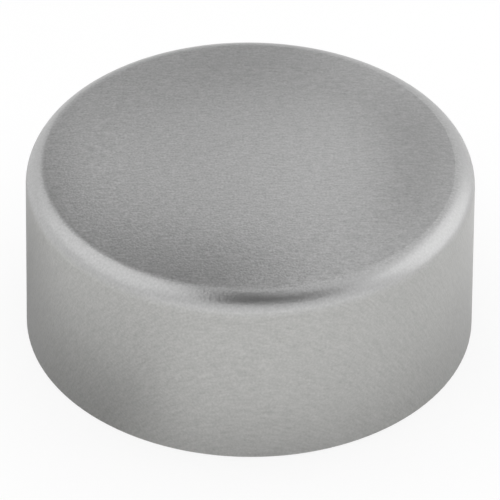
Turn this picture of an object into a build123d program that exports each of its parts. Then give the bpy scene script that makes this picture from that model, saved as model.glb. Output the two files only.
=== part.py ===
from build123d import *

import os
from math import radians, tan

# A screw lid for a bottle, cast in stainless steel as one piece.
#
# It is a plain cup that sits mouth down: a closed end that is flat in the middle and eases
# down towards a rounded shoulder, and a side that leans in a little, as a casting does.
# Inside are a wider mouth that clears the bead below the bottle's thread, a straight bore
# with one coarse right-hand thread standing on it, and a flat ceiling that meets the
# bottle's rim.
#
# Millimetres, +Z up. The origin is the centre of the mouth, on the plane that the lid
# stands on, and the bottle's neck comes in from below.

# Neck of the bottle, from the glass outwards
NECK_DIAMETER = 35.0  # of the glass, between the turns of its thread
NECK_THREAD_DEPTH = 1.2  # how far that thread stands out from the glass
NECK_BEAD_STEP = 0.4  # how far the bead below the thread stands out beyond it
NECK_CLEARANCE = 0.15  # radial room that the lid leaves all round the neck

# Walls
RIM_WALL = 1.25  # round the mouth, where the side is thinnest
END_THICKNESS = 1.95  # in its flat middle
END_FLAT_RADIUS = 10.0  # of that flat middle
END_FALL = 0.5  # from the flat to the corner that the shoulder rounds, as polishing leaves it
SIDE_DRAFT = 1.0  # degrees that the side leans in towards the closed end

# Edges
SHOULDER_RADIUS = 2.0  # between the side and the closed end
RIM_EDGE_CHAMFER = 0.15  # outer edge of the mouth, just broken
LEAD_IN = 0.3  # chamfer on the inner edge of the mouth
CEILING_CHAMFER = 0.8  # between the bore and the ceiling

# Lengths inside, from the mouth upwards
BEAD_RELIEF_DEPTH = 2.0  # of the wider mouth
THREAD_RUN_IN = 0.7  # plain bore below the thread
THREAD_TURNS = 1.5
THREAD_PITCH = 4.233  # six turns to the inch
THREAD_RUN_OUT = 4.0  # plain bore above the thread

# Section of the thread's ridge
THREAD_CREST_WIDTH = 1.0
THREAD_CREST_CHAMFER = 0.2  # on the crest's two edges
THREAD_FLANK_ANGLE = 30.0  # degrees, the same on both flanks
THREAD_ROOTING = 0.3  # how deep the ridge is let into the wall

crest_radius = NECK_DIAMETER / 2 + NECK_CLEARANCE
bore_radius = crest_radius + NECK_THREAD_DEPTH
relief_radius = bore_radius + NECK_BEAD_STEP
rim_radius = relief_radius + RIM_WALL

flank_slope = tan(radians(THREAD_FLANK_ANGLE))
ridge_half_height = THREAD_CREST_WIDTH / 2 + NECK_THREAD_DEPTH * flank_slope
thread_rise = THREAD_TURNS * THREAD_PITCH

bore_mouth_height = BEAD_RELIEF_DEPTH + NECK_BEAD_STEP
thread_start_height = bore_mouth_height + THREAD_RUN_IN + ridge_half_height
ceiling_height = thread_start_height + thread_rise + ridge_half_height + THREAD_RUN_OUT
end_height = ceiling_height + END_THICKNESS


def corner_at(section, point):
    """The section's corner at a point."""
    return section.vertices().sort_by_distance(point)[0]


def cup():
    """The lid without its thread: half a section, turned round the axis."""
    outer_rim = (rim_radius, 0)
    shoulder_height = end_height - END_FALL
    shoulder_lean = shoulder_height * tan(radians(SIDE_DRAFT))
    shoulder = (rim_radius - shoulder_lean, shoulder_height)
    flat_edge = (END_FLAT_RADIUS, end_height)
    ceiling_corner = (bore_radius, ceiling_height)
    easing = TangentArc(flat_edge, shoulder, tangent=(1, 0))
    straights = Polyline(
        shoulder,
        outer_rim,
        (relief_radius + LEAD_IN, 0),
        (relief_radius, LEAD_IN),
        (relief_radius, BEAD_RELIEF_DEPTH),
        (bore_radius, bore_mouth_height),
        ceiling_corner,
        (0, ceiling_height),
        (0, end_height),
        flat_edge,
    )
    section = make_face(easing + straights)
    section = fillet(corner_at(section, shoulder), SHOULDER_RADIUS)
    section = chamfer(corner_at(section, outer_rim), RIM_EDGE_CHAMFER)
    section = chamfer(corner_at(section, ceiling_corner), CEILING_CHAMFER)
    return revolve(Plane.XZ * section, Axis.Z)


def ridge_half_section():
    """The upper half of the ridge's section, with radius along X and height along Y."""
    root_radius = bore_radius + THREAD_ROOTING
    root_half_height = ridge_half_height + THREAD_ROOTING * flank_slope
    crest_edge = (crest_radius, THREAD_CREST_WIDTH / 2)
    section = make_face(
        Polyline(
            (crest_radius, 0),
            (root_radius, 0),
            (root_radius, root_half_height),
            crest_edge,
            close=True,
        )
    )
    return chamfer(corner_at(section, crest_edge), THREAD_CREST_CHAMFER)


def thread():
    """The ridge: its section led up a helix, with a rounded nose at each end."""
    half_section = ridge_half_section()
    section = half_section + mirror(half_section, Plane.XZ)
    helix = Helix(pitch=THREAD_PITCH, height=thread_rise, radius=bore_radius)
    turns = sweep(Plane.XZ * section, path=helix, is_frenet=True)

    lower_nose = revolve(Plane.XZ * half_section, Axis.X, 180)
    upper_nose = Rot(0, 0, 360 * THREAD_TURNS) * Rot(180, 0, 0) * lower_nose
    upper_nose = Pos(0, 0, thread_rise) * upper_nose
    return Pos(0, 0, thread_start_height) * (turns + lower_nose + upper_nose)


os.makedirs("parts", exist_ok=True)
bottle_lid = cup() + thread()
export_step(bottle_lid, "parts/bottle_lid.step")
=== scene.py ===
import math

import bpy
from mathutils import Matrix, Vector


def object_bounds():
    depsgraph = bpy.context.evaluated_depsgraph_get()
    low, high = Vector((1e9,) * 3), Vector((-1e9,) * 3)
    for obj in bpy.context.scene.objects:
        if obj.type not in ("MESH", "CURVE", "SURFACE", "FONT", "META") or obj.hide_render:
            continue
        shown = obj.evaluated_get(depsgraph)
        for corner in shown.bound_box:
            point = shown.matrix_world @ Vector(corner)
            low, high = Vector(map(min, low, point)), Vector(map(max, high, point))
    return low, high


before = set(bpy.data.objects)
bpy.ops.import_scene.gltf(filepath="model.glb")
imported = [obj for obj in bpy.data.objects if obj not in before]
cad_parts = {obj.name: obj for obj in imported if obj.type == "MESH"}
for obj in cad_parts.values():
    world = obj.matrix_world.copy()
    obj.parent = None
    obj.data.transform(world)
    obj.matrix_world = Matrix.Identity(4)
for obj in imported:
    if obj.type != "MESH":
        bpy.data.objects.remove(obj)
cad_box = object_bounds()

MM = 0.001

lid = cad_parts["bottle_lid"]
low, high = cad_box
rim_radius = (high.x - low.x) / 2

# The camera: a long lens, looking down on the front of the lid
CAMERA_ELEVATION = 38.26  # degrees above the floor
CAMERA_ROLL = 0.5  # degrees
CAMERA_DISTANCE = 20.0  # from the middle of the mouth, in rim radii
SENSOR_WIDTH = 36.0  # mm
LENS = 320.0  # mm
AIM_UP = 0.2914  # how far above the middle of the mouth the camera aims, in rim radii
AIM_RIGHT = 0.001  # and how far to its right
CLIP_START = 0.01  # m
CLIP_END = 10.0  # m

# The studio: a white tent, lit evenly, with softboxes and gels in it. Azimuth and elevation
# are in degrees, seen from the lid, with azimuth 0 at the front and 90 at its right. Distance,
# width and height are in rim radii. Most of these numbers, TENT_LEVEL among them, were found
# by a fit of the reflections in the steel and rounded, and some were then changed.
TENT_LEVEL = 0.965
STUDIO_MIDDLE = 0.4  # height of the point that the studio faces, in rim radii

# Azimuth, elevation, distance, width, height and radiance
SOFTBOXES = {
    "softbox_right": (101.5, 22, 6.1, 6.2, 6.4, 0.6),
    "softbox_left": (-82, 49, 5.0, 6.1, 6.0, 0.29),
    "softbox_low": (7, 6, 3.5, 7.0, 1.2, 0.24),
    "softbox_back": (187, 49, 2.5, 1.9, 0.9, 0.87),
}

# Only reflections see the grey gels, which give the steel its darker patches. Azimuth,
# elevation, distance, width, height, and the share of the light that each holds back
GELS = {
    "gel_front": (-7.5, 65, 3.6, 1.0, 4.0, 1.0),
    "gel_front_right": (24.5, 54.5, 7.0, 3.3, 4.7, 0.8),
    "gel_back_left": (-156, 53.5, 3.4, 1.9, 2.3, 0.955),
    "gel_back_right": (169.5, 42.5, 3.6, 1.6, 1.2, 0.86),
    "gel_back_low": (-167.5, 25, 3.0, 2.3, 0.8, 0.36),
}

# More grey gels lie on the floor round the lid, and were set one by one. They are painted shade,
# which only the steel sees: all round the lid's foot, and to its left and back left, where its
# shadow falls, with a trace to its right. Azimuth, how many degrees to either side of it the
# shade stays full, how many until it is gone, its reach from the lid's axis and its fade either
# side of that, in rim radii, and the share that it holds back. The foot's shade stays full for
# 180 degrees to either side, so it goes all round.
FLOOR_PAINTED_SHADES = {
    "painted_shade_foot": (0, 180, 230, 1.2, 0.5, 0.41),
    "painted_shade_left": (-118, 75, 105, 1.65, 0.4, 0.32),
    "painted_shade_back_left": (-135, 20, 60, 2.6, 0.8, 0.28),
    "painted_shade_right": (120, 50, 90, 2.4, 0.8, 0.05),
}
PAINTED_SHADE_SIZE = 8.0  # rim radii
FLOOR_GAP = 0.01 * MM  # under the rim, so that the two faces don't lie in one plane
LAYER_GAP = 0.02 * MM  # from one painted shade to the next

FLOOR_SIZE = 120.0  # rim radii
FLOOR_COLOUR = "#F4F4F4"
FLOOR_GLOW = 0.8  # share of the paper's white that doesn't depend on the light

# Stainless steel: a neutral grey on the end, and a touch warmer on the side
STEEL_END = "#B3B3B3"
STEEL_SIDE = "#B5B5B3"
STEEL_INSIDE = "#B2B2B0"
OUTSIDE_ROUGHNESS = 0.35
INSIDE_ROUGHNESS = 0.3  # at 0.28 the ceiling shows two small marks
ROUGHNESS_DRIFT = 0.03

NOISE_MIDDLE = 0.5  # what a noise swings about
MARK_DETAIL = 1.0

# Blasted grain, all over the outside. Real grains are near 0.05 mm across, too fine to show,
# so they are drawn four times as coarse. A tone is how far a mark swings the steel's colour.
BLAST_SIZE = 0.2  # mm
BLAST_DEPTH = 0.014  # mm
# The blast's swing of colour is partly real grain and partly painted glint for the facets' sparkle
BLAST_TONE_AND_GLINT_ON_END = 0.58
BLAST_TONE_AND_GLINT_ON_SIDE = 0.3
BLAST_FORCE = 0.96  # in the middle of the lid
BLAST_DRIFT = (-0.01, -0.01, 0.0)  # what each mm along x, y and z adds to the force

# Linished strokes, along x on the end, drawn four times as wide as they are
STROKE_WIDTH = 0.22  # mm
STROKE_LENGTH = 0.8  # mm
STROKE_DEPTH = 0.006  # mm
STROKE_TONE = 0.36

# Buffed strokes on the side. The wheel's face leans back, so they bow over its front and run
# down to its left and right. They too are drawn wider than they are.
BUFF_WIDTH = 0.32  # mm
BUFF_LENGTH = 1.1  # mm
BUFF_LEAN = 2.2  # how far a stroke falls for each mm towards the back
BUFF_TONE = 0.24

# Rings left by the lathe inside, as far apart as its feed. The inside's finish is a guess.
RING_PITCH = 0.18  # mm
RING_DEPTH = 0.008  # mm
RING_TONE = 0.3
RING_SLIP = 0.02  # how fast a ring's tone changes along x, against across the ring

# Broad clouds, where the hand finishing was heavier or lighter
CLOUD_SIZE = 7.0  # mm
CLOUD_DETAIL = 2.0
CLOUD_TONE = 0.05

# Where one finish gives way to another
MOUTH_RADIUS = 19.9  # mm, between the mouth's edge and the side
CEILING_LEVEL = 16.5  # mm above the rim, between the ceiling and the end
END_STARTS = 0.9  # upward part of the normal where the end's finish starts
SIDE_ENDS = 0.5  # and where the side's stops


def linear(hex_colour):
    """An sRGB hex colour as linear red, green, blue and full alpha."""
    parts = [int(hex_colour[i:i + 2], 16) / 255 for i in (1, 3, 5)]
    return [p / 12.92 if p <= 0.04045 else ((p + 0.055) / 1.055) ** 2.4 for p in parts] + [1.0]


def add_node(tree, kind, inputs=None, **settings):
    """Add a node, set its settings, link or set its inputs, and return its outputs."""
    made = tree.nodes.new("ShaderNode" + kind)
    for name, value in settings.items():
        setattr(made, name, value)
    for key, value in (inputs or {}).items():
        if isinstance(value, bpy.types.NodeSocket):
            tree.links.new(value, made.inputs[key])
        else:
            made.inputs[key].default_value = value
    return made.outputs


def new_material(name):
    """An empty material, and its node tree."""
    mat = bpy.data.materials.new(name)
    mat.use_nodes = True
    mat.node_tree.nodes.clear()
    return mat, mat.node_tree


def put_in_scene(name, data):
    obj = bpy.data.objects.new(name, data)
    bpy.context.scene.collection.objects.link(obj)
    return obj


def add_sheet(name, width, tall, mat):
    """A flat rectangle, sized in rim radii."""
    x = width * rim_radius / 2
    y = tall * rim_radius / 2
    mesh = bpy.data.meshes.new(name)
    mesh.from_pydata([(-x, -y, 0), (x, -y, 0), (x, y, 0), (-x, y, 0)], [], [(0, 1, 2, 3)])
    mesh.materials.append(mat)
    return put_in_scene(name, mesh)


def face_lid(obj, azimuth, elevation, distance):
    """Stand obj off the lid in that direction, facing it."""
    a = math.radians(azimuth)
    e = math.radians(elevation)
    out = Vector((math.cos(e) * math.sin(a), -math.cos(e) * math.cos(a), math.sin(e)))
    middle = Vector((0, 0, STUDIO_MIDDLE * rim_radius))
    turn = out.to_track_quat("Z", "Y").to_matrix().to_4x4()
    obj.matrix_world = Matrix.Translation(middle + out * distance * rim_radius) @ turn


def add_softbox(name, azimuth, elevation, distance, width, tall, radiance):
    """A soft rectangular lamp, which is itself never in view."""
    data = bpy.data.lights.new(name, "AREA")
    data.shape = "RECTANGLE"
    data.size = width * rim_radius
    data.size_y = tall * rim_radius
    data.energy = radiance * math.pi * data.size * data.size_y
    lamp = put_in_scene(name, data)
    lamp.visible_camera = False
    face_lid(lamp, azimuth, elevation, distance)


def show_only_in_reflections(obj):
    obj.visible_camera = False
    obj.visible_diffuse = False
    obj.visible_shadow = False


def add_gel(name, azimuth, elevation, distance, width, tall, hold):
    """A grey film standing in the tent, which passes the light that it doesn't hold back."""
    mat, tree = new_material(name)
    passing = (1 - hold, 1 - hold, 1 - hold, 1)
    film = add_node(tree, "BsdfTransparent", {"Color": passing})
    add_node(tree, "OutputMaterial", {"Surface": film[0]})
    gel = add_sheet(name, width, tall, mat)
    face_lid(gel, azimuth, elevation, distance)
    show_only_in_reflections(gel)


def add_painted_floor_shade(name, layer, azimuth, full, gone, reach, fade, hold):
    """Painted shade on the floor, seen only in the steel: a grey film, cut out under the lid,
    which fades to both sides and outward.
    """
    mat, tree = new_material(name)
    place = add_node(tree, "TexCoord")["Object"]
    a = math.radians(azimuth)
    ahead = (math.sin(a), -math.cos(a), 0)
    heading = add_node(tree, "VectorMath", {0: place}, operation="NORMALIZE")[0]
    cosine = add_node(tree, "VectorMath", {0: heading, 1: ahead}, operation="DOT_PRODUCT")["Value"]
    angle = add_node(tree, "Math", {0: cosine}, operation="ARCCOSINE")[0]
    sides = {"Value": angle, "From Min": math.radians(gone), "From Max": math.radians(full)}
    sideways = add_node(tree, "MapRange", sides, interpolation_type="SMOOTHSTEP")[0]
    out = add_node(tree, "VectorMath", {0: place}, operation="LENGTH")["Value"]
    start = (reach + fade) * rim_radius
    end = (reach - fade) * rim_radius
    edge = {"Value": out, "From Min": start, "From Max": end, "To Max": hold}
    outward = add_node(tree, "MapRange", edge, interpolation_type="SMOOTHSTEP")[0]
    held = add_node(tree, "Math", {0: sideways, 1: outward}, operation="MULTIPLY")[0]
    beside = add_node(tree, "Math", {0: out, 1: rim_radius}, operation="GREATER_THAN")[0]
    held = add_node(tree, "Math", {0: held, 1: beside}, operation="MULTIPLY")[0]
    passing = add_node(tree, "Math", {0: 1.0, 1: held}, operation="SUBTRACT")[0]
    film = add_node(tree, "BsdfTransparent", {"Color": passing})
    add_node(tree, "OutputMaterial", {"Surface": film[0]})
    gel = add_sheet(name, PAINTED_SHADE_SIZE, PAINTED_SHADE_SIZE, mat)
    gel.location.z = low.z + layer * LAYER_GAP
    show_only_in_reflections(gel)


def add_camera():
    e = math.radians(CAMERA_ELEVATION)
    back = Vector((0, -math.cos(e), math.sin(e)))
    right = Vector((1, 0, 0))
    up = back.cross(right)
    aim = (up * AIM_UP + right * AIM_RIGHT) * rim_radius
    position = back * CAMERA_DISTANCE * rim_radius
    data = bpy.data.cameras.new("camera")
    data.sensor_width = SENSOR_WIDTH
    data.lens = LENS
    data.clip_start = CLIP_START
    data.clip_end = CLIP_END
    camera = put_in_scene("camera", data)
    turn = (aim - position).to_track_quat("-Z", "Y").to_matrix().to_4x4()
    roll = Matrix.Rotation(math.radians(CAMERA_ROLL), 4, "Z")
    camera.matrix_world = Matrix.Translation(position) @ turn @ roll
    bpy.context.scene.camera = camera


def satin_steel():
    """Stainless steel, linished, buffed and fine blasted outside, and turned inside.

    The blasting breaks reflections up into a soft sheen with a fine grain of light and dark.
    In the colour, part of that grain is painted glint, for the sparkle of the facets.
    Under it, the linishing and the buffing still show as short faint strokes. Inside, the
    lathe leaves close rings, and the steel is a little glossier. The lid is new, so no edge
    is worn.

    In a Mix node, numbers go into 2 and 3, and colours into 6 and 7 and out of 2.
    """
    mat, tree = new_material("satin_steel")
    metres = add_node(tree, "TexCoord")["Object"]
    place = add_node(tree, "VectorMath", {0: metres, "Scale": 1 / MM}, operation="SCALE")[0]
    axes = add_node(tree, "SeparateXYZ", {0: place})
    across = add_node(tree, "CombineXYZ", {0: axes["X"], 1: axes["Y"]})[0]
    radius = add_node(tree, "VectorMath", {0: across}, operation="LENGTH")["Value"]
    normal = add_node(tree, "NewGeometry")["True Normal"]
    upward = add_node(tree, "SeparateXYZ", {0: normal})["Z"]

    # Where each finish is: 1 on it, and 0 off it
    in_mouth = add_node(tree, "Math", {0: radius, 1: MOUTH_RADIUS}, operation="LESS_THAN")[0]
    under_end = add_node(tree, "Math", {0: axes["Z"], 1: CEILING_LEVEL}, operation="LESS_THAN")[0]
    inside = add_node(tree, "Math", {0: in_mouth, 1: under_end}, operation="MULTIPLY")[0]
    end = {"Value": upward, "From Min": END_STARTS, "From Max": 1.0}
    on_end = add_node(tree, "MapRange", end, interpolation_type="SMOOTHSTEP")[0]
    side = {"Value": upward, "From Min": SIDE_ENDS, "From Max": 0.0}
    on_side = add_node(tree, "MapRange", side, interpolation_type="SMOOTHSTEP")[0]

    # The space that each kind of mark is drawn in, squeezed along the mark to lengthen it
    stroke_stretch = (STROKE_WIDTH / STROKE_LENGTH, 1, 1)
    linished = {0: place, 1: stroke_stretch}
    linished = add_node(tree, "VectorMath", linished, operation="MULTIPLY")[0]
    leaning = {0: axes["Y"], 1: BUFF_LEAN, 2: axes["Z"]}
    leaning = add_node(tree, "Math", leaning, operation="MULTIPLY_ADD")[0]
    along = {0: place, "Scale": BUFF_WIDTH / BUFF_LENGTH}
    along = add_node(tree, "VectorMath", along, operation="SCALE")[0]
    along = add_node(tree, "SeparateXYZ", {0: along})
    buffed = add_node(tree, "CombineXYZ", {0: along["X"], 1: leaning, 2: along["Z"]})[0]
    slip = add_node(tree, "Math", {0: axes["X"], 1: RING_SLIP}, operation="MULTIPLY")[0]
    turned = add_node(tree, "CombineXYZ", {0: radius, 1: axes["Z"], 2: slip})[0]

    # The marks themselves, each between about -0.5 and 0.5
    marks = []
    for where, size, detail in (
        (place, BLAST_SIZE, MARK_DETAIL),
        (linished, STROKE_WIDTH, MARK_DETAIL),
        (buffed, BUFF_WIDTH, MARK_DETAIL),
        (turned, RING_PITCH, MARK_DETAIL),
        (place, CLOUD_SIZE, CLOUD_DETAIL),
    ):
        lumps = {"Vector": where, "Scale": 1 / size, "Detail": detail}
        mark = add_node(tree, "TexNoise", lumps)[0]
        centred = {0: mark, 1: NOISE_MIDDLE}
        marks.append(add_node(tree, "Math", centred, operation="SUBTRACT")[0])
    blast, strokes, buffing, rings, clouds = marks
    drift = {0: place, 1: BLAST_DRIFT}
    drift = add_node(tree, "VectorMath", drift, operation="DOT_PRODUCT")["Value"]
    force = add_node(tree, "Math", {0: drift, 1: BLAST_FORCE}, operation="ADD")[0]
    blast = add_node(tree, "Math", {0: blast, 1: force}, operation="MULTIPLY")[0]
    strokes = add_node(tree, "Math", {0: strokes, 1: on_end}, operation="MULTIPLY")[0]
    buffing = add_node(tree, "Math", {0: buffing, 1: on_side}, operation="MULTIPLY")[0]

    # Tones: each mark's swing is added to 1, and the colour is multiplied by the sum
    # Part of the blast's swing of colour is painted glint, stronger on the end than on the side
    blast_tone_and_glint = {"Factor": on_end, 2: BLAST_TONE_AND_GLINT_ON_SIDE, 3: BLAST_TONE_AND_GLINT_ON_END}
    blast_tone_and_glint = add_node(tree, "Mix", blast_tone_and_glint)[0]
    cloudy = {0: clouds, 1: CLOUD_TONE, 2: 1.0}
    cloudy = add_node(tree, "Math", cloudy, operation="MULTIPLY_ADD")[0]
    outside_tone = cloudy
    for mark, swing in ((blast, blast_tone_and_glint), (strokes, STROKE_TONE), (buffing, BUFF_TONE)):
        marked = {0: mark, 1: swing, 2: outside_tone}
        outside_tone = add_node(tree, "Math", marked, operation="MULTIPLY_ADD")[0]
    ringed = {0: rings, 1: RING_TONE, 2: cloudy}
    inside_tone = add_node(tree, "Math", ringed, operation="MULTIPLY_ADD")[0]
    tone = add_node(tree, "Mix", {"Factor": inside, 2: outside_tone, 3: inside_tone})[0]
    steels = {"Factor": on_side, 6: linear(STEEL_END), 7: linear(STEEL_SIDE)}
    outside_steel = add_node(tree, "Mix", steels, data_type="RGBA")[2]
    steels = {"Factor": inside, 6: outside_steel, 7: linear(STEEL_INSIDE)}
    steel = add_node(tree, "Mix", steels, data_type="RGBA")[2]
    colour = add_node(tree, "VectorMath", {0: steel, "Scale": tone}, operation="SCALE")[0]

    # Heights, in metres
    pits = add_node(tree, "Math", {0: blast, 1: BLAST_DEPTH * MM}, operation="MULTIPLY")[0]
    grooves = {0: strokes, 1: STROKE_DEPTH * MM, 2: pits}
    outside_height = add_node(tree, "Math", grooves, operation="MULTIPLY_ADD")[0]
    inside_height = {0: rings, 1: RING_DEPTH * MM}
    inside_height = add_node(tree, "Math", inside_height, operation="MULTIPLY")[0]
    height = {"Factor": inside, 2: outside_height, 3: inside_height}
    height = add_node(tree, "Mix", height)[0]
    bump = add_node(tree, "Bump", {"Strength": 1.0, "Distance": 1.0, "Height": height})[0]

    rough = {"Factor": inside, 2: OUTSIDE_ROUGHNESS, 3: INSIDE_ROUGHNESS}
    rough = add_node(tree, "Mix", rough)[0]
    rough = {0: clouds, 1: ROUGHNESS_DRIFT, 2: rough}
    rough = add_node(tree, "Math", rough, operation="MULTIPLY_ADD")[0]
    surface = {"Base Color": colour, "Metallic": 1.0, "Roughness": rough, "Normal": bump}
    shader = add_node(tree, "BsdfPrincipled", surface)
    add_node(tree, "OutputMaterial", {"Surface": shader[0]})
    return mat


def pale_paper():
    """Matt white paper, rolled out flat.

    It keeps the lid's shadow, and its glow makes it white to the eye and in the steel. Its
    underside is clear, so the lid can be looked at from below.
    """
    mat, tree = new_material("pale_paper")
    paper = add_node(tree, "BsdfDiffuse", {"Color": linear(FLOOR_COLOUR)})
    glow = add_node(tree, "Emission", {"Strength": 1.0})
    ray = add_node(tree, "LightPath")
    seen = ray["Is Camera Ray"]
    for kind in ("Is Glossy Ray", "Is Transmission Ray"):
        seen = add_node(tree, "Math", {0: seen, 1: ray[kind]}, operation="MAXIMUM")[0]
    share = add_node(tree, "Math", {0: seen, 1: FLOOR_GLOW}, operation="MULTIPLY")[0]
    top = add_node(tree, "MixShader", {0: share, 1: paper[0], 2: glow[0]})
    clear = add_node(tree, "BsdfTransparent")
    under = add_node(tree, "NewGeometry")["Backfacing"]
    surface = add_node(tree, "MixShader", {0: under, 1: top[0], 2: clear[0]})
    add_node(tree, "OutputMaterial", {"Surface": surface[0]})
    return mat


def add_floor():
    floor = add_sheet("floor", FLOOR_SIZE, FLOOR_SIZE, pale_paper())
    floor.location.z = low.z - FLOOR_GAP


def add_tent():
    """An even white light from every side."""
    world = bpy.data.worlds.new("white_tent")
    bpy.context.scene.world = world
    world.use_nodes = True
    tent = world.node_tree.nodes["Background"]
    tent.inputs["Color"].default_value = (1, 1, 1, 1)
    tent.inputs["Strength"].default_value = TENT_LEVEL
    world.cycles.sampling_method = "NONE"


add_camera()
for name, values in SOFTBOXES.items():
    add_softbox(name, *values)
for name, values in GELS.items():
    add_gel(name, *values)
for layer, (name, values) in enumerate(FLOOR_PAINTED_SHADES.items(), 1):
    add_painted_floor_shade(name, layer, *values)
add_floor()
add_tent()
lid.data.materials.clear()
lid.data.materials.append(satin_steel())

bpy.context.scene.view_settings.view_transform = "Standard"
